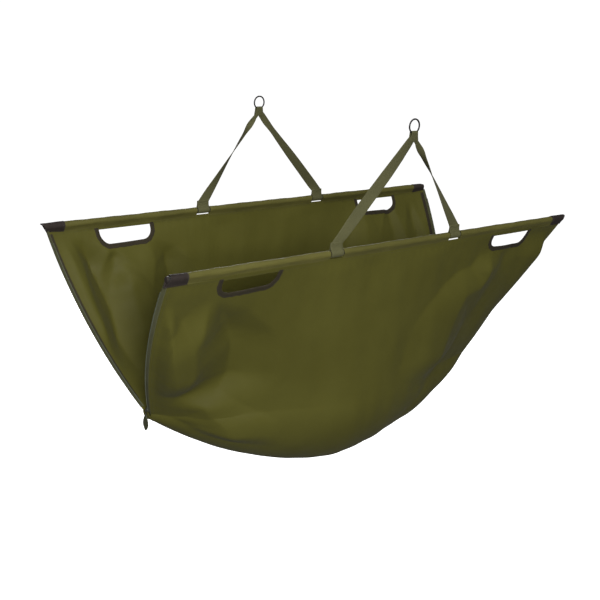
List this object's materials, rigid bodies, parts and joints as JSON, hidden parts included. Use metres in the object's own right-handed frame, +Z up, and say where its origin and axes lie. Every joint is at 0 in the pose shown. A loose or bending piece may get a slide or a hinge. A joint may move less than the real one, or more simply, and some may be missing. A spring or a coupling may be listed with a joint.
{
  "type": "fish weigh sling",
  "caption": "Cloth fish weigh sling hung on two tube bars with hand holes, V-shaped webbing bridles, steel rings and end zips whose sliders and pulls move.",
  "frame": {"origin": "hang point midway between the inner tops of the two rings", "axes": "+X along the bars, +Y from the front bar to the rear bar, +Z up"},
  "size_m": [1.212, 0.5144, 0.8575],
  "materials": {
    "cloth": "satin",
    "webbing": "matte",
    "binding": "matte",
    "patch": "satin",
    "tube": "satin",
    "chain": "satin",
    "steel": "satin",
    "pull": "matte"
  },
  "bodies": {
    "base": {"base_panel": "cloth", "left_corner_patch": "patch", "right_corner_patch": "patch"},
    "front_side": {"front_bar": "tube", "front_middle_sleeve": "cloth", "front_panel": "cloth", "front_left_bar_plug": "patch", "front_left_sleeve": "cloth", "front_left_end_patch": "patch", "front_left_hole_binding": "binding", "front_left_zip_tape": "binding", "front_left_zip_chain": "chain", "front_right_bar_plug": "patch", "front_right_sleeve": "cloth", "front_right_end_patch": "patch", "front_right_hole_binding": "binding", "front_right_zip_tape": "binding", "front_right_zip_chain": "chain"},
    "front_loops": {"front_left_loop": "webbing", "front_right_loop": "webbing"},
    "front_bridle": {"front_left_strap": "webbing", "front_right_strap": "webbing", "front_ring_tab": "webbing"},
    "front_ring": {"front_ring": "steel"},
    "rear_side": {"rear_bar": "tube", "rear_middle_sleeve": "cloth", "rear_panel": "cloth", "rear_left_bar_plug": "patch", "rear_left_sleeve": "cloth", "rear_left_end_patch": "patch", "rear_left_hole_binding": "binding", "rear_left_zip_tape": "binding", "rear_left_zip_chain": "chain", "rear_right_bar_plug": "patch", "rear_right_sleeve": "cloth", "rear_right_end_patch": "patch", "rear_right_hole_binding": "binding", "rear_right_zip_tape": "binding", "rear_right_zip_chain": "chain"},
    "rear_loops": {"rear_left_loop": "webbing", "rear_right_loop": "webbing"},
    "rear_bridle": {"rear_left_strap": "webbing", "rear_right_strap": "webbing", "rear_ring_tab": "webbing"},
    "rear_ring": {"rear_ring": "steel"},
    "left_slider": {"left_zip_slider": "steel"},
    "left_pull": {"left_pull_link": "steel", "left_zip_pull": "pull"},
    "right_slider": {"right_zip_slider": "steel"},
    "right_pull": {"right_pull_link": "steel", "right_zip_pull": "pull"}
  },
  "joints": [
    {"name": "front_fold", "type": "hinge", "parent": "base", "child": "front_side", "pos_m": [0, 0, -0.6445], "axis": [-1, 0, 0], "range_deg": [-42, 31.99]},
    {"name": "front_loops_turn", "type": "hinge", "parent": "front_side", "child": "front_loops", "pos_m": [0, -0.2445, -0.2695], "axis": [1, 0, 0], "range_deg": [-42, 31.99]},
    {"name": "front_bridle_swing", "type": "hinge", "parent": "front_loops", "child": "front_bridle", "pos_m": [0, -0.2445, -0.244], "axis": [1, 0, 0], "range_deg": [-100, 100]},
    {"name": "front_ring_swing", "type": "hinge", "parent": "front_bridle", "child": "front_ring", "pos_m": [0.0216, -0.2445, -0.0275], "axis": [1, 0, 0], "range_deg": [-80, 80]},
    {"name": "rear_fold", "type": "hinge", "parent": "base", "child": "rear_side", "pos_m": [0, 0, -0.6445], "axis": [1, 0, 0], "range_deg": [-42, 31.99]},
    {"name": "rear_loops_turn", "type": "hinge", "parent": "rear_side", "child": "rear_loops", "pos_m": [0, 0.2445, -0.2695], "axis": [-1, 0, 0], "range_deg": [-42, 31.99]},
    {"name": "rear_bridle_swing", "type": "hinge", "parent": "rear_loops", "child": "rear_bridle", "pos_m": [0, 0.2445, -0.244], "axis": [-1, 0, 0], "range_deg": [-100, 100]},
    {"name": "rear_ring_swing", "type": "hinge", "parent": "rear_bridle", "child": "rear_ring", "pos_m": [-0.0216, 0.2445, -0.0275], "axis": [-1, 0, 0], "range_deg": [-80, 80]},
    {"name": "left_zip_slide", "type": "hinge", "parent": "front_side", "child": "left_slider", "pos_m": [0.67805, -0.28108, -0.19474], "axis": [0, 0.848, 0.53], "range_deg": [0, 18.18]},
    {"name": "left_pull_swing", "type": "hinge", "parent": "left_slider", "child": "left_pull", "pos_m": [-0.49345, -0.00289, -0.63987], "axis": [0, 1, 0], "range_deg": [0, 110]},
    {"name": "right_zip_slide", "type": "hinge", "parent": "rear_side", "child": "right_slider", "pos_m": [-0.67805, 0.28108, -0.19474], "axis": [0, -0.848, 0.53], "range_deg": [0, 18.18]},
    {"name": "right_pull_swing", "type": "hinge", "parent": "right_slider", "child": "right_pull", "pos_m": [0.49345, 0.00289, -0.63987], "axis": [0, -1, 0], "range_deg": [0, 110]}
  ],
  "couplings": [
    {"joint": "rear_fold", "follows": "front_fold", "ratio": 1},
    {"joint": "front_loops_turn", "follows": "front_fold", "ratio": 1},
    {"joint": "rear_loops_turn", "follows": "front_fold", "ratio": 1}
  ]
}
